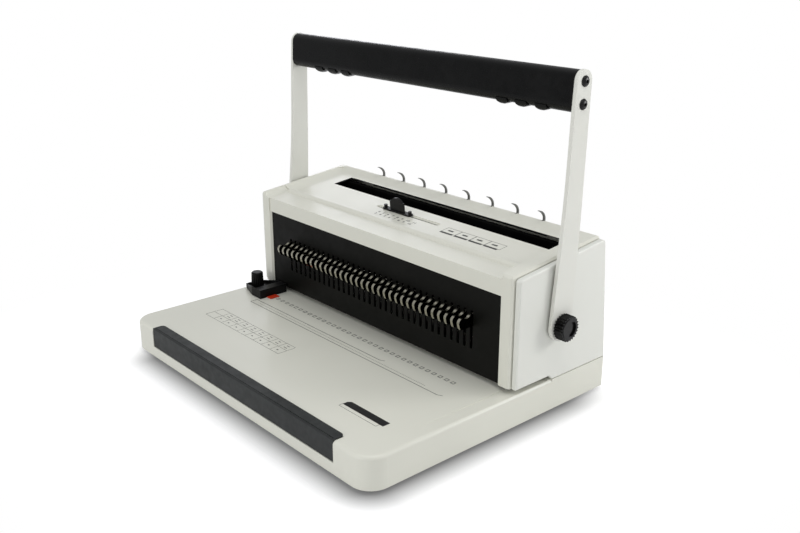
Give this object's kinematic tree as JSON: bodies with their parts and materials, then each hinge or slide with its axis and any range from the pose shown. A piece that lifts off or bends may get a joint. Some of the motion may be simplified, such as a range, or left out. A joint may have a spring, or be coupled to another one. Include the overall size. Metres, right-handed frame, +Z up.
{
  "type": "wire binding machine",
  "caption": "Desktop wire binding machine: paper punch with slotted front and fingers, wire closer slot in the top, U-shaped two-arm handle and a chip drawer.",
  "frame": {"origin": "centre of the footprint at the bottom of the feet", "axes": "+Z up, +X to the operator's right, -Y towards the operator"},
  "size_m": [0.4218, 0.2944, 0.3127],
  "materials": {
    "base_paint": "satin",
    "plate_steel": "satin",
    "foot_rubber": "matte",
    "screw_steel": "satin",
    "tray_plastic": "matte",
    "strip_grey": "satin",
    "rail_steel": "satin",
    "frame_steel": "satin",
    "bush_brass": "satin",
    "tie_steel": "satin",
    "die_steel": "satin",
    "guide_steel": "satin",
    "throat_steel": "satin",
    "column_steel": "polished",
    "spring_steel": "satin",
    "ram_steel": "satin",
    "pin_steel": "ground",
    "cam_steel": "satin",
    "bar_black": "satin",
    "finger_nickel": "nickel plated",
    "jaw_black": "satin",
    "anvil_black": "satin",
    "rod_steel": "polished",
    "slider_black": "satin",
    "stop_black": "satin",
    "shell_paint": "satin",
    "panel_black": "satin",
    "cover_paint": "satin",
    "hook_steel": "satin",
    "hookrail_steel": "satin",
    "shaft_steel": "satin",
    "arm_paint": "satin",
    "grip_black": "satin",
    "grip_screw_black": "satin",
    "knob_black": "satin",
    "guide_black": "satin",
    "stud_steel": "satin",
    "guide_knob_black": "satin",
    "pointer_red": "gloss"
  },
  "bodies": {
    "machine": {"base_shell": "base_paint", "base_plate": "plate_steel", "feet": "foot_rubber", "base_screws": "screw_steel", "tray_rails": "rail_steel", "frame_plate_right": "frame_steel", "frame_plate_left": "frame_steel", "shaft_bushes": "bush_brass", "tie_bars": "tie_steel", "frame_screws": "screw_steel", "die_block": "die_steel", "pin_guide": "guide_steel", "throat_blocks": "throat_steel", "guide_columns": "column_steel", "return_springs": "spring_steel", "anvil_bar": "anvil_black", "closer_rods": "rod_steel", "centre_shell": "shell_paint", "slotted_panel": "panel_black", "side_cover_right": "cover_paint", "side_cover_left": "cover_paint", "rear_hooks": "hook_steel", "hook_rail": "hookrail_steel"},
    "handle": {"handle_shaft": "shaft_steel", "handle_arm_right": "arm_paint", "handle_arm_left": "arm_paint", "grip": "grip_black", "grip_screws": "grip_screw_black", "ram_cams": "cam_steel", "closer_cams": "cam_steel", "finger_cams": "cam_steel"},
    "ram": {"ram_bar": "ram_steel", "punch_pins": "pin_steel"},
    "closer": {"closer_bar": "jaw_black"},
    "finger_carrier": {"finger_bar": "bar_black", "fingers": "finger_nickel"},
    "drawer": {"chip_tray": "tray_plastic", "drawer_front": "strip_grey"},
    "slider": {"size_slider": "slider_black", "slider_stop": "stop_black"},
    "guide": {"edge_guide": "guide_black", "guide_stud": "stud_steel", "red_pointer": "pointer_red"},
    "guide_clamp": {"guide_knob": "guide_knob_black"},
    "knob_right": {"pivot_knob_right": "knob_black"},
    "knob_left": {"pivot_knob_left": "knob_black"}
  },
  "joints": [
    {"name": "handle_turn", "type": "hinge", "parent": "machine", "child": "handle", "pos_m": [0, 0.072, 0.0885], "axis": [1, 0, 0], "range_deg": [0, 75], "stiffness_Nm_per_rad": 1.6, "springref_deg": -20.05},
    {"name": "ram_slide", "type": "slide", "parent": "machine", "child": "ram", "axis": [0, 0, -1], "range_m": [0, 0.00905], "deforming": ["return_springs"]},
    {"name": "closer_slide", "type": "slide", "parent": "machine", "child": "closer", "axis": [0, 1, 0], "range_m": [0, 0.01049]},
    {"name": "finger_slide", "type": "slide", "parent": "machine", "child": "finger_carrier", "axis": [0, 0, -1], "range_m": [0, 0.02096]},
    {"name": "drawer_slide", "type": "slide", "parent": "machine", "child": "drawer", "axis": [0, -1, 0], "range_m": [0, 0.18]},
    {"name": "size_slide", "type": "slide", "parent": "machine", "child": "slider", "axis": [1, 0, 0], "range_m": [-0.009, 0.0375]},
    {"name": "guide_slide", "type": "slide", "parent": "machine", "child": "guide", "axis": [1, 0, 0], "range_m": [-0.005, 0.005]},
    {"name": "guide_knob_turn", "type": "hinge", "parent": "guide", "child": "guide_clamp", "pos_m": [-0.18, 0, 0.049], "axis": [0, 0, 1], "range_deg": [0, 90]},
    {"name": "knob_right_turn", "type": "hinge", "parent": "handle", "child": "knob_right", "pos_m": [0.2058, 0.072, 0.0885], "axis": [1, 0, 0], "range_deg": [0, 180]},
    {"name": "knob_left_turn", "type": "hinge", "parent": "handle", "child": "knob_left", "pos_m": [-0.2058, 0.072, 0.0885], "axis": [1, 0, 0], "range_deg": [0, 180]}
  ],
  "couplings": [
    {"joint": "ram_slide", "follows": "handle_turn", "m_per_rad": 0.0069},
    {"joint": "closer_slide", "follows": "handle_turn", "m_per_rad": 0.008},
    {"joint": "finger_slide", "follows": "handle_turn", "m_per_rad": 0.016}
  ]
}
